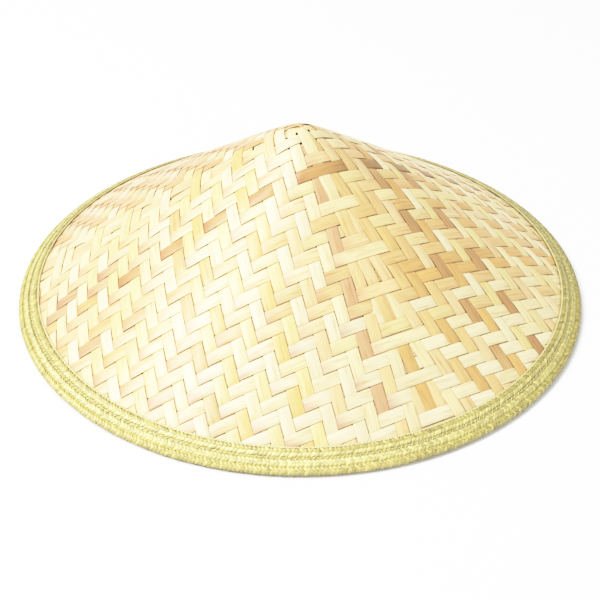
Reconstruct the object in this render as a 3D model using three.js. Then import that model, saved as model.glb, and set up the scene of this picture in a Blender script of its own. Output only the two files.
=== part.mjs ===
// A conical bamboo hat, resting on its rim. Millimetres, +Z up, origin under the tip on the resting plane.
// The hat's front, which the light seam of its weave faces, is -Y.
import * as THREE from 'three';

// Driving dimensions of the whole hat
const RIM_RADIUS = 200;        // out to the nose of the braided edge
const SLOPE = THREE.MathUtils.degToRad(34.5);
const TIP_ROUNDING = 8;        // how far the tip is blunted from a true point
const CLEARANCE = 0.3;         // between pieces that touch on the real hat

// The woven cone
const WALL = 1.6;              // two bamboo splits where they cross

// The two rows of straw braid that bind the edge, measured along the slope
const BRAID_THICKNESS = 1.6;
const OUTER_ROW = 10.5;        // width on top, nose included
const INNER_ROW = 7.6;
const UNDER_RETURN = 7;        // how far the outer row runs back beneath the wall
const BRAID_CROWN = 0.4;       // fall from the middle of a row to its borders
const LAND_DROP = 2.4;         // from the nose's centre down to the plane it rests on

// Resolution
const SEGMENTS = 72;
const WALL_ROWS = 13;
const ROW_SPREAD = 1.5;         // power by which the wall's rows grow further apart from the tip down
const NOSE_STEPS = 6;

// The nose is an arc about the end of the wall's middle line
const noseRadius = WALL / 2 + CLEARANCE + BRAID_THICKNESS;
const noseCentre = new THREE.Vector2(RIM_RADIUS - noseRadius, LAND_DROP);
const downSlope = new THREE.Vector2(Math.cos(SLOPE), -Math.sin(SLOPE));
const outward = new THREE.Vector2(Math.sin(SLOPE), Math.cos(SLOPE));

// A point beside the nose's centre: so far down the slope, so far out from the wall's middle line
function besideEdge(along, out) {
  return noseCentre.clone().addScaledVector(downSlope, along).addScaledVector(outward, out);
}

// The cone's outer line is a hyperbola: a rounded tip that runs out into a straight slope
const wallEdge = besideEdge(0, WALL / 2);

function coneHeight(radius) {
  const blunt = (r) => Math.hypot(r, TIP_ROUNDING);
  return wallEdge.y + Math.tan(SLOPE) * (blunt(wallEdge.x) - blunt(radius));
}

function coneNormal(radius) {
  const fall = Math.tan(SLOPE) * radius / Math.hypot(radius, TIP_ROUNDING);
  return new THREE.Vector2(fall, 1).normalize();
}

// Turns a profile of radius and height about +Z, as one closed body
function turned(profile) {
  const body = new THREE.LatheGeometry(profile, SEGMENTS);
  body.rotateX(Math.PI / 2);
  return body;
}

// The hollow woven wall: down the inside from the tip, round the raw edge, and up the outside
function wovenConeGeometry() {
  const radii = [];
  for (let row = 1; row <= WALL_ROWS; row += 1) {
    radii.push(wallEdge.x * (row / WALL_ROWS) ** ROW_SPREAD);
  }
  const outer = radii.map((r) => new THREE.Vector2(r, coneHeight(r)));
  const inner = radii.map((r, i) => outer[i].clone().addScaledVector(coneNormal(r), -WALL));
  const innerTip = new THREE.Vector2(0, coneHeight(0) - WALL);
  const outerTip = new THREE.Vector2(0, coneHeight(0));
  return turned([innerTip, ...inner, ...outer.reverse(), outerTip]);
}

// The outer row folds round the raw edge. Its nose has a narrow flat land, on which the hat rests.
function edgeBraidGeometry() {
  const skin = WALL / 2 + CLEARANCE;
  const crownLine = noseRadius - BRAID_CROWN;
  const topBorder = noseRadius - OUTER_ROW;
  const noseStart = Math.PI / 2 - SLOPE;
  const landAngle = Math.asin(LAND_DROP / noseRadius);
  const landHalfWidth = noseRadius * Math.cos(landAngle);
  const nose = [];
  for (let step = 0; step <= NOSE_STEPS; step += 1) {
    const angle = noseStart - (noseStart + landAngle) * (step / NOSE_STEPS);
    nose.push(new THREE.Vector2(Math.cos(angle), Math.sin(angle)).multiplyScalar(noseRadius).add(noseCentre));
  }
  const profile = [
    besideEdge(topBorder, skin),
    besideEdge(topBorder, crownLine),
    besideEdge(topBorder / 2, noseRadius),
    ...nose,
    new THREE.Vector2(noseCentre.x - landHalfWidth, 0),
    besideEdge(-UNDER_RETURN / 2, -noseRadius),
    besideEdge(-UNDER_RETURN, -crownLine),
    besideEdge(-UNDER_RETURN, -skin),
    besideEdge(CLEARANCE, -skin),
    besideEdge(CLEARANCE, skin),
    besideEdge(topBorder, skin),
  ];
  return turned(profile.reverse());
}

// The inner row lies flat on the slope, beside the outer one
function innerBraidGeometry() {
  const skin = WALL / 2 + CLEARANCE;
  const lower = noseRadius - OUTER_ROW - CLEARANCE;
  const upper = lower - INNER_ROW;
  const middle = (lower + upper) / 2;
  const profile = [
    besideEdge(upper, skin),
    besideEdge(upper, noseRadius - BRAID_CROWN),
    besideEdge(middle, noseRadius),
    besideEdge(lower, noseRadius - BRAID_CROWN),
    besideEdge(lower, skin),
    besideEdge(upper, skin),
  ];
  return turned(profile.reverse());
}

function piece(name, geometry, colour, roughness) {
  const material = new THREE.MeshStandardMaterial({ color: colour, roughness, metalness: 0 });
  const mesh = new THREE.Mesh(geometry, material);
  mesh.name = name;
  return mesh;
}

const hat = new THREE.Group();
hat.add(piece('woven_cone', wovenConeGeometry(), 0xecd3a0, 0.5));
hat.add(piece('edge_braid', edgeBraidGeometry(), 0xcfc987, 0.6));
hat.add(piece('inner_braid', innerBraidGeometry(), 0xcfc987, 0.6));

export default hat;
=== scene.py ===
import math

import bpy
import numpy as np
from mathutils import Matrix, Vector


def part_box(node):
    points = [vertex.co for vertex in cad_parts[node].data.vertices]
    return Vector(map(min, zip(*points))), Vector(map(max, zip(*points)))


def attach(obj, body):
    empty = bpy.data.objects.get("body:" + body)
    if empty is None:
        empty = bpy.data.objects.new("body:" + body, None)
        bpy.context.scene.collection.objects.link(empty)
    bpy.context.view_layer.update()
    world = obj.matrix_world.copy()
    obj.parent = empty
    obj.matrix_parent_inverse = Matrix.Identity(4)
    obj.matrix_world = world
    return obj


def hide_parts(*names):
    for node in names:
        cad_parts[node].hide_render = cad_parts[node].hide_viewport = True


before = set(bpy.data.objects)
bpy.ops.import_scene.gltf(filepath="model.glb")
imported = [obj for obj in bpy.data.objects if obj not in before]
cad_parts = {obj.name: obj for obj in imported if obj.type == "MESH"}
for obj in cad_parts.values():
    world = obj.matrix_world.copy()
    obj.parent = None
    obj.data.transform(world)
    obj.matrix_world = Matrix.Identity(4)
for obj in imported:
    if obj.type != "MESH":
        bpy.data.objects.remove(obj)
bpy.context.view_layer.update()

# Lengths of the hat are millimetres. Points are turned into metres when a mesh is made.
MM = 0.001
rng = np.random.default_rng(7)
ANY_PHASE = (0, 6.3)

# The hat's form: its height and width come from the frame, and the rest are the solids' own dimensions
TIP_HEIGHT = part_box("woven_cone")[1].z / MM
RIM_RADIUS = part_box("edge_braid")[1].x / MM
SLOPE = math.radians(34.5)
TIP_ROUNDING = 8.0           # distance from the axis within which the tip is rounded
WALL = 1.6
CLEARANCE = 0.3
BRAID_THICKNESS = 1.6
LAND_DROP = 2.4              # from the nose's centre down to the floor
EDGE_TRIM = 1.0              # how far inside the nose's centre the splits end
NOSE_RADIUS = WALL / 2 + CLEARANCE + BRAID_THICKNESS
NOSE_CENTRE = np.array([RIM_RADIUS - NOSE_RADIUS, LAND_DROP])
DOWN_SLOPE = np.array([math.cos(SLOPE), -math.sin(SLOPE)])
OUTWARD = np.array([math.sin(SLOPE), math.cos(SLOPE)])

# The three seams, along which the weave turns. The first one is right of the front, which is -Y.
SEAMS = 3
FIRST_SEAM = math.radians(28.5 - 90)

# The unrolled cone is a sector, and its seams are this far apart
UNROLL = math.cos(SLOPE)
SEAM_ANGLE = 2 * math.pi * UNROLL / SEAMS
WALL_REACH = (NOSE_CENTRE[0] - EDGE_TRIM) / UNROLL

# Each family of splits runs square across its own seam: where its first split crosses, and its pitch
FAMILIES = {
    "front": {"first": 2.3, "pitch": 9.0},
    "back": {"first": -1.0, "pitch": 8.75},
    "left": {"first": -0.5, "pitch": 8.7},
}
FAMILY_NAMES = list(FAMILIES)

# The weave, two over and two under
REPEAT = 4
EARLY_PHASE = -0.5           # where the repeat starts for a family that crosses one named after it
LATE_PHASE = 2.5             # and for a family that crosses one named before it
RAMP = 0.30                  # share of a pitch in which a split climbs to its full lift
SEAM_BLEND = 6.0             # width in which a split passes from one side's lift to the other's

# The fan of splits that are added along a seam
INSERTED = 3                 # splits on each side of the middle one, further and further down
FIRST_ADDED_ROW = 4          # no split is added above this row, except at the front seam's tip
ADDED_SHARE = 0.12           # share of its full width from which an added split counts
ADDED_SINK = 0.42            # how much lower an added split lies where it has no room yet
SHORTEST_ADDED = 12.0        # one that would be shorter is left out
FAN_MIDDLE = -1.0            # where the middle split runs, beside the seam
MIDDLE_FLOATS = [-1, 1, 1, -1, -1, 1, 1]     # its repeat over the rows that it crosses
MIDDLE_SHIFT = [0, 0, 1]     # where it starts in that repeat, by family
MIDDLE_RISE = 0.2            # how much higher a middle split lies near the tip
RISE_END = 60.0              # how far down that ends
RISE_FADE = 15.0             # length in which it fades before

# The splits at the tip
TIP_TAPER = 9.0              # the split that starts at the tip reaches its full width this far down
TIP_NARROW = 0.72            # share of their width that the first splits have left beside the tip
NARROW_REACH = 27.0          # so far to either side of their seam they have all of it
TIP_SPLITS = 2               # splits of each other family that pass over the front family's first, at the tip

# A split
STRIP_STEP = 1.5             # length between its rings of points
STRIP_THICKNESS = 0.45
STRIP_LIFT = 0.34            # how far a split goes out and in from the middle of the weave
STRIP_MIDDLE = -0.62         # the middle of the weave, below the wall's outer face
STRIP_BULGE = 0.10           # how much further the middle of a float rises
STRIP_SHARE = 0.955          # width, as a share of the pitch
STRIP_SPREAD = (-0.025, 0.015)
ADDED_WIDTH = 0.94           # the same for an added split
ADDED_SPREAD = (-0.02, 0.02)
EDGE_ROOM = 0.3              # how far the outermost split stays inside the wall's end
WOBBLE = 0.16                # how far a split sways to either side
WOBBLE_LENGTHS = (25, 60)    # length in which that wave turns by a radian
FACE_HEIGHT = 0.3            # section points higher than this belong to the face
CUT_BROWN_AND_SHADE = (0.3, 0.95)     # how light the cut sides are beside the face, from one split to another: browner cut bamboo with painted shade
# painted shade on a split's underside
UNDERSIDE_PAINTED_SHADE = 0.45

# A split's cross-section: place across it as a share of its width, and height as a share of its thickness
STRIP_SECTION = np.array([
    (-0.500, 0.20), (-0.465, 0.46), (0.0, 0.56), (0.465, 0.46),
    (0.500, 0.20), (0.480, -0.50), (0.0, -0.50), (-0.480, -0.50),
])

# Pattern coordinates: per millimetre of length, over a split's width and over a straw's, and their
# random start
PATTERN_ALONG = 0.01
PATTERN_ACROSS = 0.1
STRAW_PATTERN_ACROSS = 0.02
PATTERN_START = (0, 50)


def linear(red, green, blue):
    """A colour read as 0 to 255 in sRGB, as linear light."""
    share = np.array([red, green, blue]) / 255
    return np.where(share <= 0.04045, share / 12.92, ((share + 0.055) / 1.055) ** 2.4)


BAMBOO = {
    "ivory": linear(233, 216, 170),
    "cream": linear(231, 211, 158),
    "straw": linear(226, 205, 142),
    "peach": linear(224, 193, 141),
    "tan": linear(214, 181, 123),
    "honey": linear(217, 185, 118),
    "golden": linear(209, 169, 103),
    "pinkish": linear(200, 162, 119),
    "brown": linear(180, 142, 91),
    "dark": linear(160, 127, 76),
}
PLAIN_TONES = ["ivory", "cream", "cream", "straw", "peach", "cream", "ivory", "straw"]

# The splits' tones, by family and number counted from the tip. Along a front split the tone changes from
# left through the middle to the right. A number that is left out is in the long chart or has a plain tone.
CHART = {
    "front": {
        0: ["cream", "cream", "cream"], 1: ["ivory", "cream", "straw"], 2: ["cream", "cream", "tan"],
        3: ["cream", "peach", "golden"], 5: ["cream", "straw", "golden"], 6: ["ivory", "peach", "golden"],
        7: ["cream", "cream", "straw"], 8: ["peach", "tan", "golden"], 9: ["cream", "straw", "peach"],
        10: ["cream", "peach", "golden"], 11: ["ivory", "cream", "tan"], 12: ["cream", "tan", "tan"],
        15: ["ivory", "tan", "tan"], 16: ["ivory", "ivory", "cream"], 17: ["cream", "straw", "tan"],
        18: ["ivory", "cream", "cream"], 19: ["cream", "ivory", "ivory"], 20: ["ivory", "ivory", "cream"],
        21: ["ivory", "cream", "ivory"], 22: ["cream", "ivory", "ivory"], 23: ["ivory", "ivory", "cream"],
        24: ["ivory", "ivory", "ivory"],
    },
    "left": {
        0: ["pinkish"], 1: ["cream"], 2: ["ivory"], 3: ["peach"], 4: ["ivory"], 5: ["straw"], 6: ["honey"],
        7: ["ivory"], 8: ["straw"], 9: ["cream"], 10: ["honey"], 11: ["straw"], 12: ["tan"], 13: ["ivory"],
        14: ["cream"],
    },
    "back": {
        0: ["tan"], 2: ["tan"], 3: ["peach"], 5: ["golden"], 6: ["ivory"], 7: ["straw"], 8: ["brown"],
        9: ["cream"], 10: ["straw"], 11: ["peach"],
    },
}
CHART_REACH = 110.0          # where along a front split its first and last charted tones stand
FAR_LEFT = -175.0            # here the front splits take one of the far tones
FAR_TONES = ["peach", "tan", "pinkish", "peach"]
ADDED_TONES = {-1: "peach", -2: "cream", -3: "peach"}     # from the outermost to beside the middle split

# Splits whose tone changes more than that, with the places along them
LONG_CHART = {
    ("front", 4): [
        (-190, "tan"), (-165, "brown"), (-130, "pinkish"), (-100, "brown"), (-60, "pinkish"), (-45, "brown"),
        (0, "brown"), (20, "dark"), (110, "dark"),
    ],
    ("front", 13): [(-190, "peach"), (-110, "peach"), (-10, "tan"), (15, "golden"), (110, "golden")],
    ("front", 14): [
        (-190, "peach"), (-110, "cream"), (-10, "peach"), (12, "peach"), (28, "golden"), (110, "golden"),
    ],
    ("front", "middle"): [
        (0, "cream"), (50, "cream"), (78, "tan"), (115, "peach"), (165, "golden"), (220, "golden"),
    ],
    ("back", 1): [(-200, "golden"), (-130, "golden"), (-80, "honey"), (-40, "peach")],
    ("back", 4): [(-230, "tan"), (-190, "brown"), (-60, "brown"), (-30, "tan")],
}

# Left of the front seam, painted shade darkens the outer end of each front float
PAINTED_END_SHADE = np.array([0.82, 0.68, 0.72])
END_SHADE_START = -0.1             # where in the float the painted shade starts
END_SHADE_STRENGTHS = (0.2, 1.3)   # how strong it is, from one split to another

# Behind the left seam the splits of both families are warmer
WARM_TINT = np.array([0.90, 0.79, 0.80])
WARM_SIDES = {"left": -1, "back": 1}
WARM_REACH = 50.0            # so far from their own seam's line they reach the full tint

# How a split's tone differs from its charted one
DRIFT = 0.035                # a slow wave along it
DRIFT_LENGTHS = (30, 70)     # length in which the wave turns by a radian
TONE_SPREAD = 0.02           # lighter or darker as a whole
WARMTH_SPREAD = 0.012


# The cone

def cone_height(radius):
    """The height of the cone's outer face."""
    return TIP_HEIGHT - math.tan(SLOPE) * (np.hypot(radius, TIP_ROUNDING) - TIP_ROUNDING)


def on_cone(reach, azimuth, out):
    """Points on the cone: reach down the slope from the tip, azimuth, and distance out from its face."""
    radius = reach * UNROLL
    fall = math.tan(SLOPE) * radius / np.hypot(radius, TIP_ROUNDING)
    size = np.hypot(fall, 1)
    wide = radius + out * fall / size
    height = cone_height(radius) + out / size
    return np.stack([wide * np.cos(azimuth), wide * np.sin(azimuth), height], axis=-1)


# Over and under. Along is measured across a family's seam, and across or reach down it.

def family_sizes(family):
    """Where a family's first split crosses its seam, and its pitch."""
    return FAMILIES[FAMILY_NAMES[family]]


def row_count(family):
    """How many splits cross a seam between the tip and the edge, with the one that the edge cuts."""
    sizes = family_sizes(family)
    return int((WALL_REACH - sizes["first"]) / sizes["pitch"]) + 2


def wrapped(turn):
    """Brings a place in the repeat to within half a repeat of the middle of the float."""
    return (turn + REPEAT / 2) % REPEAT - REPEAT / 2


def over_under(turn):
    """1 where a split floats over, -1 where it passes under, with a soft climb between them."""
    beside = 1 - np.abs(wrapped(turn))
    climb = np.clip(beside / RAMP, -1, 1)
    return np.sin(climb * math.pi / 2) + STRIP_BULGE / STRIP_LIFT * np.clip(beside, 0, None)


def float_phase(family, other):
    """Where the repeat starts for a split of one family that crosses another family."""
    return EARLY_PHASE if family < other else LATE_PHASE


def fan_room(family, side, reach):
    """Beside a seam, so far down it: how far off the neighbour's first split runs, the room between that
    split and the middle one, and the share of its full width that each inserted split has there."""
    other = family_sizes((family + side) % SEAMS)
    edge = (other["first"] - reach * math.cos(SEAM_ANGLE)) / math.sin(SEAM_ANGLE)
    room = edge - side * FAN_MIDDLE
    shares = [np.clip(room / other["pitch"] - 1 - place, 0, 1) for place in range(INSERTED)]
    return edge, room, shares


def float_place(family, number, side, along, across):
    """Where a split is in its repeat beside its seam: 0 in the middle of a float, 1 at its outer end."""
    other = (family + side) % SEAMS
    edge = fan_room(family, side, across)[0]
    crossed = (side * along - edge) * math.sin(SEAM_ANGLE) / family_sizes(other)["pitch"]
    return wrapped(crossed - number + float_phase(family, other))


def middle_state(family, row):
    """Whether a seam's middle split floats over a row: 1 or -1."""
    if family == 0 and row == 0:
        return 1
    return MIDDLE_FLOATS[(row + MIDDLE_SHIFT[family]) % len(MIDDLE_FLOATS)]


def middle_lift(family, reach):
    """The middle split's own lift, with a soft climb from row to row."""
    sizes = family_sizes(family)
    place = (reach - sizes["first"]) / sizes["pitch"]
    row = np.floor(place + 0.5).astype(int)
    beside = place - row
    states = np.array([middle_state(family, i) for i in range(int(row.max()) + 3)])
    here = states[row]
    after = states[np.maximum(row + np.sign(beside).astype(int), 0)]
    climb = np.sin(np.clip((0.5 - np.abs(beside)) / RAMP, 0, 1) * math.pi / 2)
    return here * (1 + climb) / 2 + after * (1 - climb) / 2


def middle_start(family):
    """The row that a seam's middle split starts under. The front one starts at the tip."""
    if family == 0:
        return 0
    row = FIRST_ADDED_ROW
    while middle_state(family, row) > 0 or middle_state(family, row + 1) < 0:
        row += 1
    return row


def tip_lift(family, other, number, crossed, lift):
    """At the tip the other two families' first splits lie over the front family's first."""
    if family == 0 and number == 0:
        near, over = TIP_SPLITS - crossed, -1
    elif other == 0 and number < TIP_SPLITS:
        near, over = 0.5 - crossed, 1
    else:
        return lift
    share = np.clip(near / (2 * RAMP) + 0.5, 0, 1)
    return lift * (1 - share) + over * share


def side_lift(family, number, side, along, across):
    """A split's lift on one side of its own seam, from the splits it crosses there, added ones included."""
    other = (family + side) % SEAMS
    pitch = family_sizes(other)["pitch"]
    edge, room, shares = fan_room(family, side, across)
    inward = edge - side * along
    crossed = -inward * math.sin(SEAM_ANGLE) / pitch
    phase = float_phase(family, other)
    if middle_start(family) > number:
        return over_under(crossed - number + phase)
    present = [share for share in shares if share.min() > ADDED_SHARE]
    total = 1 + sum(present)
    border = room * 0.5 / total
    inner = -0.5 * np.clip(inward / border, 0, 1)
    for share in present:
        cell = room * share / total
        inner = inner - np.clip((inward - border) / cell, 0, 1)
        border = border + cell
    inner = np.maximum(inner, -len(present) - 0.5 + RAMP)
    lift = over_under(np.where(inward > 0, inner, crossed) - number + phase)
    middle = np.clip((inward - border) / (2 * RAMP * pitch) + 0.5, 0, 1)
    lift = lift * (1 - middle) - middle_state(family, number) * middle
    return tip_lift(family, other, number, crossed, lift)


def strip_lift(family, number, along, across):
    """How far out a split lies, as a share of the full lift, from what it crosses."""
    left = side_lift(family, number, -1, along, across)
    right = side_lift(family, number, 1, along, across)
    share = np.clip((along - FAN_MIDDLE) / SEAM_BLEND + 0.5, 0, 1)
    return left * (1 - share) + right * share


# Meshes

def tube_faces(rows, sides, first):
    """The quads between the rings of a tube. Its ends are left open."""
    row = np.arange(rows - 1)[:, None] * sides
    side = np.arange(sides)[None, :]
    after = (side + 1) % sides
    quads = np.stack([row + side, row + after, row + sides + after, row + sides + side], axis=-1)
    return quads.reshape(-1, 4) + first


def end_caps(rows, sides, first):
    """The two faces that close a tube."""
    start = [first + i for i in range(sides)][::-1]
    end = [first + (rows - 1) * sides + i for i in range(sides)]
    return [start, end]


class MeshParts:
    """Gathers vertices, faces, colours and pattern coordinates, and makes one mesh object of them."""

    def __init__(self):
        self.points = []
        self.colours = []
        self.places = []
        self.quads = []
        self.caps = []
        self.count = 0

    def add_points(self, points, colours, places):
        """The points of a tube, ring by ring, with what they carry."""
        rows, sides = points.shape[:2]
        self.points.append(points.reshape(-1, 3))
        self.colours.append(np.broadcast_to(colours, (rows, sides, 3)).reshape(-1, 3))
        self.places.append(places.reshape(-1, 2))
        self.count += rows * sides

    def add_tube(self, points, colours, places):
        """A tube with flat ends."""
        rows, sides = points.shape[:2]
        self.quads.append(tube_faces(rows, sides, self.count))
        self.caps += end_caps(rows, sides, self.count)
        self.add_points(points, colours, places)

    def add_ring(self, points, colours, places):
        """A tube that closes on itself: the last row is joined to the first."""
        rows, sides = points.shape[:2]
        quads = tube_faces(rows + 1, sides, 0) % (rows * sides)
        self.quads.append(quads + self.count)
        self.add_points(points, colours, places)

    def build(self, name, material):
        """One object of all the parts, with the tones and pattern coordinates on its mesh."""
        points = np.concatenate(self.points) * MM
        faces = np.concatenate(self.quads).tolist() + self.caps
        mesh = bpy.data.meshes.new(name)
        mesh.from_pydata(points.tolist(), [], faces)
        colours = np.concatenate(self.colours)
        rgba = np.concatenate([colours, np.ones((len(colours), 1))], axis=1)
        tone = mesh.attributes.new("tone", "FLOAT_COLOR", "POINT")
        tone.data.foreach_set("color", rgba.astype(np.float32).ravel())
        corners = np.zeros(len(mesh.loops), np.int32)
        mesh.loops.foreach_get("vertex_index", corners)
        places = np.concatenate(self.places)[corners]
        mesh.uv_layers.new(name="strip").data.foreach_set("uv", places.astype(np.float32).ravel())
        mesh.polygons.foreach_set("use_smooth", np.ones(len(mesh.polygons), bool))
        mesh.materials.append(material)
        mesh.validate()
        mesh.update()
        piece = bpy.data.objects.new(name, mesh)
        bpy.context.scene.collection.objects.link(piece)
        return piece


def pattern_places(along, across):
    """Pattern coordinates of a mesh's points, from arrays that fit one another."""
    return np.stack(np.broadcast_arrays(along, across), axis=-1)


# Splits

def charted_tone(along, stops, tones, palette):
    """The palette's tones at places along a line, blended between its stops."""
    return np.stack([np.interp(along, stops, [palette[tone][c] for tone in tones]) for c in range(3)], -1)


def strip_colour(name, number, along):
    """A split's own tone, drifting slowly along its length."""
    plain = PLAIN_TONES[rng.integers(len(PLAIN_TONES))]
    far = FAR_TONES[rng.integers(len(FAR_TONES))]
    tones = CHART[name].get(number) or [ADDED_TONES.get(number, plain)]
    if (name, number) in LONG_CHART:
        stops, tones = zip(*LONG_CHART[name, number])
    elif len(tones) > 1:
        stops = [FAR_LEFT, *np.linspace(-CHART_REACH, CHART_REACH, len(tones))]
        tones = [far, *tones]
    else:
        stops = [0.0]
    base = charted_tone(along, stops, tones, BAMBOO)
    wave = DRIFT * np.sin(along / rng.uniform(*DRIFT_LENGTHS) + rng.uniform(*ANY_PHASE))
    drift = wave + rng.normal(0, TONE_SPREAD)
    warm = rng.normal(0, WARMTH_SPREAD)
    tint = np.array([1 + warm, 1, 1 - 2 * warm])
    return base * tint * (1 + drift[:, None])


def long_strip_colour(family, number, along, middle):
    """The tone of a split that runs from edge to edge, with the tints of the places that it passes: warmer
    behind the left seam, and painted shade at the outer ends of front floats left of the front seam.
    """
    name = FAMILY_NAMES[family]
    warmth = np.clip(WARM_SIDES.get(name, 0) * along / WARM_REACH, 0, 1)[:, None]
    tones = strip_colour(name, number, along) * (1 - warmth * (1 - WARM_TINT))
    # Painted shade at the outer end of each front float, left of the front seam
    if family == 0:
        place = float_place(family, number, -1, along, np.full(len(along), middle))
        share = np.clip((place - END_SHADE_START) / (1 - END_SHADE_START), 0, 1) * (along < 0)
        share = share * rng.uniform(*END_SHADE_STRENGTHS)
        tones = tones * (1 - share[:, None] * (1 - PAINTED_END_SHADE))
    return tones


def dressed_tube(parts, family, along, across, out, tones):
    """Adds a split, given by its section points in its seam's own coordinates. Its cut sides are darker, as
    browner cut bamboo with painted shade, and its underside has painted shade.
    """
    azimuth = FIRST_SEAM + family * 2 * math.pi / SEAMS + np.arctan2(along, across) / UNROLL
    points = on_cone(np.hypot(along, across), azimuth, out)
    side, height = STRIP_SECTION.T
    cut = np.where(side < 0, rng.uniform(*CUT_BROWN_AND_SHADE), rng.uniform(*CUT_BROWN_AND_SHADE))
    # Painted shade: the cut sides beside the face are darker, partly as browner bamboo, and the underside is
    # darker still
    shade = np.where(height > FACE_HEIGHT, 1.0, np.where(height > 0, cut, UNDERSIDE_PAINTED_SHADE))
    colours = tones[:, None, :] * shade[None, :, None]
    start = rng.uniform(*PATTERN_START, 2)
    length = np.linspace(0, len(along) * STRIP_STEP, len(along))[:, None]
    places = pattern_places(length * PATTERN_ALONG + start[0], side * PATTERN_ACROSS + start[1])
    parts.add_tube(points, colours, places)


def add_strip(parts, family, number):
    """One flat split, square across its own seam, from edge to edge of the hat."""
    sizes = family_sizes(family)
    middle = sizes["first"] + number * sizes["pitch"]
    width = sizes["pitch"] * (STRIP_SHARE + rng.uniform(*STRIP_SPREAD))
    room = min(width / 2, WALL_REACH - EDGE_ROOM - middle)
    if room < -width / 4:
        return
    offset = np.minimum(STRIP_SECTION[:, 0] * width, room)
    reach = np.sqrt(WALL_REACH ** 2 - (middle + offset) ** 2)
    # The middle of the outermost split may lie past the wall's end
    half = math.sqrt(WALL_REACH ** 2 - min(middle, WALL_REACH - 1) ** 2)
    rows = max(4, int(round(2 * half / STRIP_STEP)))
    centre = np.linspace(-half, half, rows)
    along = centre[:, None] * (reach / half)[None, :]
    wobble = WOBBLE * np.sin(centre / rng.uniform(*WOBBLE_LENGTHS) + rng.uniform(*ANY_PHASE))
    if number < TIP_SPLITS:
        narrow = TIP_NARROW + (1 - TIP_NARROW) * np.clip(np.abs(centre) / NARROW_REACH, 0, 1)
        offset = offset[None, :] * narrow[:, None]
    across = middle + offset + wobble[:, None]
    if number == 0:
        # The first split stays within the lines of the other two seams
        across = np.maximum(across, math.cos(SEAM_ANGLE) * np.abs(along))
    lift = strip_lift(family, number, along, across)
    out = STRIP_MIDDLE + STRIP_LIFT * lift + STRIP_SECTION[None, :, 1] * STRIP_THICKNESS
    tones = long_strip_colour(family, number, centre, middle)
    dressed_tube(parts, family, along, across, out, tones)


def line_end(path):
    """How far down a seam a line beside it meets the wall's end, found in a few rounds."""
    stop = WALL_REACH
    for _ in range(4):
        stop = math.sqrt(WALL_REACH ** 2 - float(path(np.array([stop]))[0]) ** 2)
    return stop


def add_fan_strip(parts, family, path, lift, sunk, start, name, number):
    """A split that starts under a row beside a seam and runs to the edge. path gives its middle line."""
    width = FAMILIES[name]["pitch"] * (ADDED_WIDTH + rng.uniform(*ADDED_SPREAD))
    stop = line_end(path)
    rows = int(round((stop - start) / STRIP_STEP))
    reach = np.linspace(start, stop, rows)
    middle = path(reach)
    slant = np.gradient(middle, reach)
    size = np.hypot(1, slant)
    taper = np.ones(rows)
    if start < TIP_TAPER:
        taper = np.clip(0.5 + 0.5 * reach / TIP_TAPER, 0, 1)
    offset = taper[:, None] * STRIP_SECTION[None, :, 0] * width
    across = reach[:, None] - (slant / size)[:, None] * offset
    along = middle[:, None] + (1 / size)[:, None] * offset
    trim = np.maximum(np.hypot(across, along) / WALL_REACH, 1)
    across = across / trim
    along = along / trim
    out = STRIP_MIDDLE + STRIP_LIFT * lift(across) + STRIP_SECTION[None, :, 1] * STRIP_THICKNESS
    out = out - sunk(reach)[:, None]
    dressed_tube(parts, family, along, across, out, strip_colour(name, number, reach))


def add_middle_strip(parts, family):
    """The split that runs straight down a seam."""
    sizes = family_sizes(family)
    start = sizes["first"] + middle_start(family) * sizes["pitch"]

    def path(reach):
        return np.full(len(reach), FAN_MIDDLE)

    def lift(reach):
        return middle_lift(family, reach)

    def sunk(reach):
        return -MIDDLE_RISE * np.clip((RISE_END - reach) / RISE_FADE, 0, 1)

    add_fan_strip(parts, family, path, lift, sunk, start, FAMILY_NAMES[family], "middle")


def inserted_start(family, other, side, place):
    """How far down an inserted split starts: it must have room, and float over the next row."""
    sizes = family_sizes(family)
    for row in range(FIRST_ADDED_ROW, row_count(family)):
        reach = np.array([sizes["first"] + row * sizes["pitch"]])
        floats = over_under(np.array([row, row + 1]) + 1 + place + float_phase(other, family))
        share = fan_room(family, side, reach)[2][place][0]
        if share > ADDED_SHARE and floats[0] < 0 < floats[1]:
            return float(reach[0])
    return WALL_REACH


def add_inserted_strip(parts, family, side, place):
    """One of the splits beside a seam's middle one, where the seam's two faces draw apart."""
    other = (family + side) % SEAMS
    sizes = family_sizes(family)
    start = inserted_start(family, other, side, place)
    if start > WALL_REACH - SHORTEST_ADDED:
        return

    def path(reach):
        edge, room, shares = fan_room(family, side, reach)
        passed = 0.5 + sum(shares[:place]) + shares[place] / 2
        return side * (edge - room * passed / (1 + sum(shares)))

    def lift(reach):
        crossed = (reach - sizes["first"]) / sizes["pitch"]
        return over_under(crossed + 1 + place + float_phase(other, family))

    def sunk(reach):
        return ADDED_SINK * (1 - fan_room(family, side, reach)[2][place])

    add_fan_strip(parts, family, path, lift, sunk, start, FAMILY_NAMES[other], -1 - place)


def make_family(family, material):
    """All the splits of one family, and the fan along its seam."""
    parts = MeshParts()
    for number in range(row_count(family)):
        add_strip(parts, family, number)
    add_middle_strip(parts, family)
    for side in (-1, 1):
        for place in range(INSERTED):
            add_inserted_strip(parts, family, side, place)
    return parts.build("bamboo_strips_" + FAMILY_NAMES[family], material)


# Straw braid: flat plaits laid round the edge, with a sewn groove between the inner and the outer row

RIM_LENGTH = 2 * math.pi * NOSE_CENTRE[0]

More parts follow.
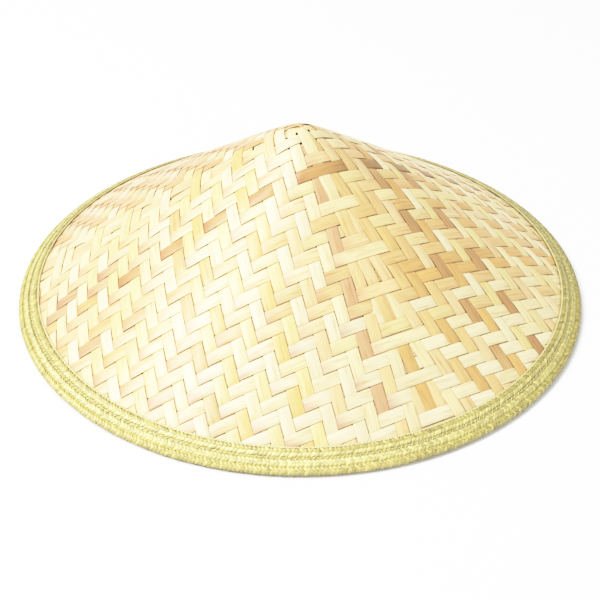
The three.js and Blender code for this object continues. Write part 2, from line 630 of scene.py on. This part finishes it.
# A straw: its cross-section, as the splits' one, and the painted shade at each point of it, lighter on top
# and darker at its sides and beneath
STRAW_SECTION = np.array([
    (-0.5, 0.0), (-0.34, 0.40), (0.0, 0.55), (0.34, 0.40), (0.5, 0.0), (0.30, -0.42), (-0.30, -0.42),
])
STRAW_PAINTED_SHADE = np.array([0.86, 0.97, 1.04, 0.97, 0.86, 0.75, 0.75])
STRAW_SHARE = 0.86           # width, as a share of the straws' spacing
STRAW_THICKNESS = 0.8
STRAW_LIFT = 0.38            # how far it goes up and down from the middle of the plait
STRAW_CLIMB = 1.5            # how steeply it changes between them
STRAW_CORNER = 0.965         # how sharply it turns at a border: 1 is a corner
STRAW_INSET = 0.36           # how far its middle line turns inside a border, as a share of its width
STRAW_SWAY = 0.3             # how far it strays across the plait
STRAW_STRAY = 0.12           # how far it strays up and down
STRAW_SWELL = 0.06           # how much its width changes
SWELL_WAVES = 7              # how often it does so round the rim
SWELL_SHIFT = 2.1            # how much later from straw to straw, in radians
STRAW_MOTTLE = 0.3           # how much its tone changes
NOISE_ROWS = 5               # rings of points from one value of the noise to the next

# A plait
NARROW_PLAIT = {"straws": 4, "period": 10.5}
WIDE_PLAIT = {"straws": 5, "period": 14.0}
PERIOD_ROWS = 12             # rings of points in one period
PLAIT_CROWN = 0.075          # how much higher its middle lies than its borders, as a share of its width

# The band behind a plait
BACKING_DEPTH = 0.25         # below the middle of the plait's thickness
BACKING_THICKNESS = 0.15
BACKING_INSET = 0.2
BACKING_ROWS = 360
BACKING_STEPS = 6
# painted shade on the band, which lies beneath the straws
BACKING_PAINTED_SHADE = 0.92

# Cords and threads along the plaits
CORD_SIDES = 4
CORD_ROWS = 5                # rings of points in one twist
CORD_TURN = 0.5              # how far a thread of a cord runs from its middle, as a share of the cord's size
CORD_THREAD = 0.62           # the radius of that thread, likewise
CORD_SHADE = 0.9             # how light a cord is
CORD_PAINTED_SHADING = 0.15          # painted light where its threads lie outside, and painted shade where they lie inside
THREAD_SIDES = 5
THREAD_ROWS = 720
THREAD_SWAY = 0.15
THREAD_STRAY = 0.10

# A stitch
STITCH_SIDES = 4
STITCH_RADIUS = 0.25
STITCH_NARROW = 0.22         # its radius across the plait
STITCH_SLANT = 0.9           # how far its ends lie to either side of its middle
STITCH_DROP = 0.75           # how far its ends go down
STITCH_ROWS = 5
STITCH_SPREAD = 0.15         # how unevenly they are spaced
STITCH_TONES = (0.85, 1.1)

# Painted light and shade on the braid round the rim, lightest at the front and darkest at the back: degrees
# from the front, positive to the right, and a factor on its tones
RIM_PAINTED_SHADE_CHART = [
    (-180, 0.62), (-120, 0.80), (-75, 0.94), (-31, 1.07), (0, 1.09), (34, 0.95), (75, 0.81), (120, 0.70),
    (180, 0.62),
]
SHADE_GREENING = 1.5               # the power of that factor for blue, so the painted shade is also greener

# The straw's tones. shade is olive straw darkened as painted shade, for the underside of the nose and a band
# of the inner row
STRAW = {
    "bright": linear(232, 221, 170),
    "pale": linear(214, 204, 140),
    "mid": linear(202, 190, 122),
    "olive": linear(188, 174, 98),
    "shade": linear(168, 156, 92),
}

# The straws of a plait are pale and green by turns: a factor on the tone of each
STRAW_TURNS = np.array([
    (1.08, 1.06, 1.06), (0.86, 0.87, 0.70), (1.05, 1.03, 1.00), (0.88, 0.90, 0.74), (0.98, 0.97, 0.90),
])

# Where the plaits lie, measured down the slope from above the nose's centre and on round the nose, and
# their tones from inside to out. The darker bands are partly the straw's own olive and partly painted shade
# on slopes turned from the light and under the nose
OUTER_ROW = (-8.1, -2.4)
NOSE_ROW = (-3.4, 3.0)
OUTER_TONES = [
    (-8.1, "olive"), (-7.2, "mid"), (-5.4, "pale"), (-4.2, "mid"), (-3.0, "olive"), (-1.4, "olive"),
    (-0.4, "mid"), (0.8, "shade"), (3.0, "shade"),
]
UNDER_ROW = (3.1, 12.6)
UNDER_TONES = [(3.1, "shade"), (6.0, "mid"), (12.6, "mid")]
INNER_ROW = (-15.1, -9.0)
INNER_TONES = [
    (-15.1, "bright"), (-14.3, "bright"), (-13.8, "olive"), (-13.0, "shade"), (-12.2, "olive"),
    (-11.2, "pale"), (-9.8, "mid"), (-9.0, "mid"),
]

# The groove between the two rows, and the band that shows in it and reaches under both
GROOVE = -8.6
GROOVE_BAND = (INNER_ROW[1] - 1, OUTER_ROW[0] + 1.5)


def slope_path(y, out):
    """A line down the slope beside the nose's centre: radius and height."""
    base = NOSE_CENTRE[:, None] + DOWN_SLOPE[:, None] * y.ravel() + OUTWARD[:, None] * out.ravel()
    return base[0].reshape(y.shape), base[1].reshape(y.shape)


def flat_on_wall(y, out):
    """As slope_path, from the middle of the braid's thickness."""
    return slope_path(y, out + WALL / 2 + CLEARANCE + BRAID_THICKNESS / 2)


def folded_path(y, out):
    """As flat_on_wall while y is negative, then round the nose, and back beneath the wall."""
    bend = NOSE_RADIUS - BRAID_THICKNESS / 2
    turn = np.clip(y / bend, 0, math.pi)
    beyond = np.clip(y - math.pi * bend, 0, None)
    along = np.where(y < 0, y, 0) - beyond + (bend + out) * np.sin(turn)
    height = (bend + out) * np.cos(turn)
    return slope_path(along, height)


def round_points(x, y, z, path):
    """Points of a piece that goes round the edge, above the floor: x is its length at the nose's centre."""
    radius, height = path(y, z)
    height = np.maximum(height, 0)
    turn = x * (2 * math.pi / RIM_LENGTH)
    return np.stack([radius * np.cos(turn), radius * np.sin(turn), height], axis=-1)


def ring_places(rows):
    """Even places round the rim, as lengths."""
    return np.arange(rows) * RIM_LENGTH / rows


def section_turns(sides):
    """Even angles round the section of a cord, a thread or a stitch."""
    return np.arange(sides) * 2 * math.pi / sides


def tones_across(y, chart):
    """The tones that a chart gives across a row of the braid."""
    stops, tones = zip(*chart)
    return charted_tone(y, stops, tones, STRAW)


def rim_painted_shade(x):
    """Painted light and shade round the rim: the straw is palest at the front, and darker and greener towards
    the sides and back. A factor for each colour.
    """
    from_front = (360 * x / RIM_LENGTH + 90 + 180) % 360 - 180
    factor = np.interp(from_front, *zip(*RIM_PAINTED_SHADE_CHART))
    return np.stack([factor, factor, factor ** SHADE_GREENING], axis=-1)


def plait_crown(y, borders):
    """How far a plait rises above its path in the middle. At its borders it falls below by as much."""
    low, high = borders
    share = (2 * y - low - high) / (high - low)
    return PLAIT_CROWN * (high - low) * (0.5 - share ** 2)


def slow_noise(rows):
    """Noise from -1 to 1 round the rim, that changes within a few rows and closes on itself."""
    coarse = rng.uniform(-1, 1, rows // NOISE_ROWS)
    places = np.arange(rows) * len(coarse) / rows
    return np.interp(places, np.arange(len(coarse) + 1), np.append(coarse, coarse[0]))


def add_backing(parts, path, borders, chart):
    """The flat band that a plait's straws hide, so that no gap between them goes through."""
    low, high = borders
    x = ring_places(BACKING_ROWS)
    y = np.linspace(low + BACKING_INSET, high - BACKING_INSET, BACKING_STEPS)
    top = plait_crown(y, borders) - BACKING_DEPTH
    shape = (BACKING_ROWS, 2 * BACKING_STEPS)
    points_x = np.broadcast_to(x[:, None], shape)
    points_y = np.broadcast_to(np.concatenate([y, y[::-1]]), shape)
    points_z = np.broadcast_to(np.concatenate([top, top[::-1] - BACKING_THICKNESS]), shape)
    points = round_points(points_x, points_y, points_z, path)
    colours = tones_across(points_y, chart) * rim_painted_shade(x)[:, None, :] * BACKING_PAINTED_SHADE
    parts.add_ring(points, colours, pattern_places(points_x * PATTERN_ALONG, points_y * PATTERN_ALONG))


def add_straw(parts, path, borders, chart, plait, straw):
    """One straw of a plait, which zigzags from border to border, over and under the others."""
    low, high = borders
    middle, half = (low + high) / 2, (high - low) / 2
    periods = int(round(RIM_LENGTH / plait["period"]))
    rows = periods * PERIOD_ROWS
    x = ring_places(rows)
    width = RIM_LENGTH / periods / plait["straws"] * STRAW_SHARE
    phase = x / RIM_LENGTH * 2 * math.pi * periods + 2 * math.pi * straw / plait["straws"]
    swing = 2 / math.pi * np.arcsin(STRAW_CORNER * np.sin(phase))
    y = middle + (half - width * STRAW_INSET) * swing + STRAW_SWAY * slow_noise(rows)
    z = -STRAW_LIFT * np.clip(STRAW_CLIMB * np.sin(2 * phase), -1, 1)
    step_x = RIM_LENGTH / rows
    step_y = (np.roll(y, -1) - np.roll(y, 1)) / 2
    size = np.hypot(step_x, step_y)
    swell = 1 + STRAW_SWELL * np.sin(x * 2 * math.pi * SWELL_WAVES / RIM_LENGTH + straw * SWELL_SHIFT)
    side, height = STRAW_SECTION.T
    beside = side[None, :] * width * swell[:, None]
    points_x = x[:, None] - (step_y / size)[:, None] * beside
    points_y = np.clip(y[:, None] + (step_x / size)[:, None] * beside, low, high)
    points_z = z[:, None] + height[None, :] * STRAW_THICKNESS + STRAW_STRAY * slow_noise(rows)[:, None]
    points_z = points_z + plait_crown(points_y, borders)
    points = round_points(points_x, points_y, points_z, path)
    colours = tones_across(y, chart)[:, None, :] * STRAW_PAINTED_SHADE[None, :, None] * rim_painted_shade(x)[:, None, :]
    colours = colours * STRAW_TURNS[straw] * (1 + STRAW_MOTTLE * slow_noise(rows)[:, None, None])
    start = rng.uniform(*PATTERN_START, 2)
    along = (x * PATTERN_ALONG)[:, None] + start[0]
    parts.add_ring(points, colours, pattern_places(along, side * STRAW_PATTERN_ACROSS + start[1]))


def add_plait(parts, path, borders, chart, plait):
    """One flat plait between two lines of the path."""
    add_backing(parts, path, borders, chart)
    for straw in range(plait["straws"]):
        add_straw(parts, path, borders, chart, plait, straw)


def add_cord(parts, y, out, thick, twist, tone):
    """A thin cord of two twisted threads, laid along the plaits. One of its twists is about so long."""
    twists = int(round(RIM_LENGTH / twist))
    x = ring_places(twists * CORD_ROWS)
    around = section_turns(CORD_SIDES)
    for thread in (0, math.pi):
        turn = x / RIM_LENGTH * 2 * math.pi * twists + thread
        middle_y = y + thick * CORD_TURN * np.cos(turn)[:, None]
        middle_z = out + thick * CORD_TURN * np.sin(turn)[:, None]
        points_y = middle_y + thick * CORD_THREAD * np.cos(around)[None, :]
        points_z = middle_z + thick * CORD_THREAD * np.sin(around)[None, :]
        points_x = np.broadcast_to(x[:, None], points_y.shape)
        points = round_points(points_x, points_y, points_z, flat_on_wall)
        # Painted light and shade as each thread turns outside and inside
        shade = CORD_SHADE + CORD_PAINTED_SHADING * np.sin(turn)
        colours = (tone * rim_painted_shade(x) * shade[:, None])[:, None, :]
        parts.add_ring(points, colours, pattern_places(points_x * PATTERN_ALONG, around * PATTERN_ALONG))


def add_thread(parts, path, y, out, thick, tone):
    """One thin thread, laid in the seam between two plaits."""
    x = ring_places(THREAD_ROWS)
    around = section_turns(THREAD_SIDES)
    points_y = y + THREAD_SWAY * slow_noise(THREAD_ROWS)[:, None] + thick / 2 * np.cos(around)[None, :]
    points_z = out + THREAD_STRAY * slow_noise(THREAD_ROWS)[:, None] + thick / 2 * np.sin(around)[None, :]
    points_x = np.broadcast_to(x[:, None], points_y.shape)
    points = round_points(points_x, points_y, points_z, path)
    colours = (tone * rim_painted_shade(x))[:, None, :]
    parts.add_ring(points, colours, pattern_places(points_x * PATTERN_ALONG, around * PATTERN_ALONG))


def add_stitches(parts, count, y, reach, lift):
    """Slanted stitches across a line of the braid."""
    around = section_turns(STITCH_SIDES)
    share = np.linspace(-1, 1, STITCH_ROWS)[:, None]
    for number in range(count):
        x = (number + rng.uniform(-STITCH_SPREAD, STITCH_SPREAD)) * RIM_LENGTH / count
        points_x = x - STITCH_SLANT * share + STITCH_RADIUS * np.cos(around)[None, :]
        points_y = y + reach * share + STITCH_NARROW * np.cos(around)[None, :]
        points_z = lift - STITCH_DROP * share ** 4 + STITCH_RADIUS * np.sin(around)[None, :]
        points = round_points(points_x, points_y, points_z, flat_on_wall)
        colour = STRAW["pale"] * rim_painted_shade(x) * rng.uniform(*STITCH_TONES)
        parts.add_tube(points, colour, pattern_places(points_x * PATTERN_ALONG, points_y * PATTERN_ALONG))


def make_inner_braid(material):
    """The inner row, a cord and stitches along its inner border, and the groove between the rows."""
    parts = MeshParts()
    add_plait(parts, flat_on_wall, INNER_ROW, INNER_TONES, WIDE_PLAIT)
    add_backing(parts, flat_on_wall, GROOVE_BAND, INNER_TONES)
    add_cord(parts, y=INNER_ROW[0] - 0.25, out=-0.3, thick=0.75, twist=3.4, tone=STRAW["bright"])
    add_cord(parts, y=GROOVE, out=-0.7, thick=1.15, twist=3.0, tone=STRAW["mid"])
    add_stitches(parts, count=330, y=GROOVE, reach=1.3, lift=0.62)
    add_stitches(parts, count=420, y=INNER_ROW[0] + 0.1, reach=1.1, lift=0.3)
    return parts.build("inner_braid_straws", material)


def make_edge_braid(material):
    """The outer row: one plait on the slope, one round the nose, and a thread in the seam between them."""
    parts = MeshParts()
    add_plait(parts, folded_path, OUTER_ROW, OUTER_TONES, NARROW_PLAIT)
    add_plait(parts, folded_path, NOSE_ROW, OUTER_TONES, NARROW_PLAIT)
    seam = (OUTER_ROW[1] + NOSE_ROW[0]) / 2
    add_thread(parts, folded_path, y=seam, out=-0.05, thick=0.9, tone=STRAW["mid"])
    return parts.build("edge_braid_straws", material)


def make_braid_return(material):
    """The outer row's return beneath the wall."""
    parts = MeshParts()
    add_plait(parts, folded_path, UNDER_ROW, UNDER_TONES, WIDE_PLAIT)
    return parts.build("edge_braid_return", material)


# Materials

NOISE_LOW = 0.3              # the part of a noise's range that a pattern is stretched from
NOISE_HIGH = 0.7
BUMP_DISTANCE = 0.0002       # metres
STREAK_TINT = (0.75, 0.64, 0.51)


def node_material(name, roughness, specular):
    """A new material with its shader node."""
    material = bpy.data.materials.new(name)
    material.use_nodes = True
    shader = material.node_tree.nodes["Principled BSDF"]
    shader.inputs["Roughness"].default_value = roughness
    shader.inputs["Specular IOR Level"].default_value = specular
    return material, shader


def tone_of_mesh(tree):
    """The tones that the mesh's points carry."""
    tone = tree.nodes.new("ShaderNodeAttribute")
    tone.attribute_name = "tone"
    return tone.outputs["Color"]


def fibre_pattern(tree, along, across):
    """Fine lines that run along a split or straw, from its own coordinates."""
    place = tree.nodes.new("ShaderNodeUVMap")
    place.uv_map = "strip"
    stretch = tree.nodes.new("ShaderNodeMapping")
    stretch.inputs["Scale"].default_value = (along, across, 1)
    lines = tree.nodes.new("ShaderNodeTexNoise")
    lines.inputs["Scale"].default_value = 1.0
    lines.inputs["Detail"].default_value = 5.0
    lines.inputs["Roughness"].default_value = 0.65
    tree.links.new(place.outputs["UV"], stretch.inputs["Vector"])
    tree.links.new(stretch.outputs["Vector"], lines.inputs["Vector"])
    return lines.outputs["Fac"]


def shaded_by(tree, colour, pattern, low, high):
    """Multiplies a colour by a pattern that is brought between two grey levels."""
    levels = tree.nodes.new("ShaderNodeMapRange")
    levels.inputs["From Min"].default_value = NOISE_LOW
    levels.inputs["From Max"].default_value = NOISE_HIGH
    levels.inputs["To Min"].default_value = low
    levels.inputs["To Max"].default_value = high
    product = tree.nodes.new("ShaderNodeVectorMath")
    product.operation = "SCALE"
    tree.links.new(pattern, levels.inputs["Value"])
    tree.links.new(colour, product.inputs[0])
    tree.links.new(levels.outputs["Result"], product.inputs["Scale"])
    return product.outputs["Vector"]


def streaked(tree, colour, pattern, start, full, tint):
    """Turns a colour towards a tint of itself where a pattern is strong."""
    levels = tree.nodes.new("ShaderNodeMapRange")
    levels.inputs["From Min"].default_value = start
    levels.inputs["From Max"].default_value = full
    tinted = tree.nodes.new("ShaderNodeVectorMath")
    tinted.operation = "MULTIPLY"
    tinted.inputs[1].default_value = tint
    # The Mix node has sockets of the same name for every kind of value, so those for vectors go by number
    mix = tree.nodes.new("ShaderNodeMix")
    mix.data_type = "VECTOR"
    tree.links.new(pattern, levels.inputs["Value"])
    tree.links.new(colour, tinted.inputs[0])
    tree.links.new(levels.outputs["Result"], mix.inputs["Factor"])
    tree.links.new(colour, mix.inputs[4])
    tree.links.new(tinted.outputs["Vector"], mix.inputs[5])
    return mix.outputs[1]


def add_bump(tree, shader, pattern, strength):
    """Raises the surface finely where a pattern is light."""
    bump = tree.nodes.new("ShaderNodeBump")
    bump.inputs["Strength"].default_value = strength
    bump.inputs["Distance"].default_value = BUMP_DISTANCE
    tree.links.new(pattern, bump.inputs["Height"])
    tree.links.new(bump.outputs["Normal"], shader.inputs["Normal"])


def bamboo_material():
    """Dry split bamboo, with fine fibres and a few browner streaks."""
    material, shader = node_material("split_bamboo", roughness=0.4, specular=0.6)
    tree = material.node_tree
    fine = fibre_pattern(tree, along=2.5, across=260.0)
    broad = fibre_pattern(tree, along=1.2, across=60.0)
    streaks = fibre_pattern(tree, along=4.0, across=32.0)
    colour = streaked(tree, tone_of_mesh(tree), streaks, start=0.52, full=0.72, tint=STREAK_TINT)
    colour = shaded_by(tree, colour, fine, low=0.86, high=1.1)
    colour = shaded_by(tree, colour, broad, low=0.88, high=1.1)
    tree.links.new(colour, shader.inputs["Base Color"])
    add_bump(tree, shader, fine, strength=0.35)
    return material


def straw_material():
    """Plaited straw, with fine fibres and specks."""
    material, shader = node_material("plaited_straw", roughness=0.34, specular=0.9)
    tree = material.node_tree
    fine = fibre_pattern(tree, along=8.0, across=900.0)
    specks = fibre_pattern(tree, along=55.0, across=110.0)
    colour = shaded_by(tree, tone_of_mesh(tree), fine, low=0.8, high=1.12)
    colour = shaded_by(tree, colour, specks, low=0.74, high=1.24)
    tree.links.new(colour, shader.inputs["Base Color"])
    add_bump(tree, shader, fine, strength=0.3)
    return material


# Floor, camera and light. Lengths are metres from here on.

FLOOR_HALF = 6.0
FLOOR_GREY = 0.93
CAMERA_DOWN = math.radians(36.2)
CAMERA_DISTANCE = 1.1
CAMERA_TARGET = Vector((0, 0, -0.0105))
CAMERA_LENS = 91.2           # millimetres, on a sensor 36 wide
LIGHT_TARGET = Vector((0, 0, 0.05))
STUDIO_STRENGTH = 0.78

# How bright a light is shown: scene light, and its share of white
WHITE_LEVEL = 1.8
SHOULDER = [(0.3, 0.3), (0.6, 0.61), (0.88, 0.82), (1.28, 0.95), (1.55, 0.985)]
COMBINED_CURVE = 3


def make_floor():
    """The plain pale floor that the hat rests on."""
    mesh = bpy.data.meshes.new("floor")
    corners = [(x * FLOOR_HALF, y * FLOOR_HALF, 0) for x, y in ((-1, -1), (1, -1), (1, 1), (-1, 1))]
    mesh.from_pydata(corners, [], [(0, 1, 2, 3)])
    floor = bpy.data.objects.new("floor", mesh)
    bpy.context.scene.collection.objects.link(floor)
    material, shader = node_material("pale_floor", roughness=0.9, specular=0.1)
    shader.inputs["Base Color"].default_value = (FLOOR_GREY, FLOOR_GREY, FLOOR_GREY, 1)
    mesh.materials.append(material)


def make_camera():
    """The camera of the photo: it looks down at the rim plane from the front."""
    data = bpy.data.cameras.new("camera")
    data.sensor_width = 36.0
    data.lens = CAMERA_LENS
    camera = bpy.data.objects.new("camera", data)
    backward = Vector((0, -math.cos(CAMERA_DOWN), math.sin(CAMERA_DOWN)))
    camera.location = CAMERA_TARGET + CAMERA_DISTANCE * backward
    camera.rotation_euler = (math.pi / 2 - CAMERA_DOWN, 0, 0)
    bpy.context.scene.collection.objects.link(camera)
    bpy.context.scene.camera = camera


def add_area_light(name, place, size, power):
    """A round soft light that is aimed at the hat."""
    data = bpy.data.lights.new(name, "AREA")
    data.shape = "DISK"
    data.size = size
    data.energy = power
    light = bpy.data.objects.new(name, data)
    light.location = place
    light.rotation_euler = (LIGHT_TARGET - Vector(place)).to_track_quat("-Z", "Y").to_euler()
    bpy.context.scene.collection.objects.link(light)


def make_lights():
    """The main light comes from the left and above, in an evenly white room."""
    add_area_light("key", (-1.6, -0.55, 1.8), size=1.0, power=50)
    add_area_light("overhead", (-0.75, 0.1, 2.0), size=0.9, power=20)
    add_area_light("fill", (1.6, -1.6, 1.4), size=1.6, power=12)
    world = bpy.data.worlds.new("studio")
    world.use_nodes = True
    background = world.node_tree.nodes["Background"]
    background.inputs["Color"].default_value = (1, 1, 1, 1)
    background.inputs["Strength"].default_value = STUDIO_STRENGTH
    bpy.context.scene.world = world


def soften_whites():
    """Lights above the middle tones roll off softly, as on a photo, and reach white at WHITE_LEVEL."""
    view = bpy.context.scene.view_settings
    view.view_transform = "Standard"
    view.use_curve_mapping = True
    mapping = view.curve_mapping
    mapping.white_level = (WHITE_LEVEL, WHITE_LEVEL, WHITE_LEVEL)
    for light, shown in SHOULDER:
        mapping.curves[COMBINED_CURVE].points.new(light / WHITE_LEVEL, shown)
    mapping.update()


def set_piece(piece, node):
    """Puts a piece in the place of one of the frame's solids."""
    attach(piece, "root")
    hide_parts(node)


make_camera()
make_lights()
soften_whites()
make_floor()
bamboo = bamboo_material()
straw = straw_material()
for family in range(SEAMS):
    set_piece(make_family(family, bamboo), "woven_cone")
set_piece(make_inner_braid(straw), "inner_braid")
set_piece(make_edge_braid(straw), "edge_braid")
set_piece(make_braid_return(straw), "edge_braid")
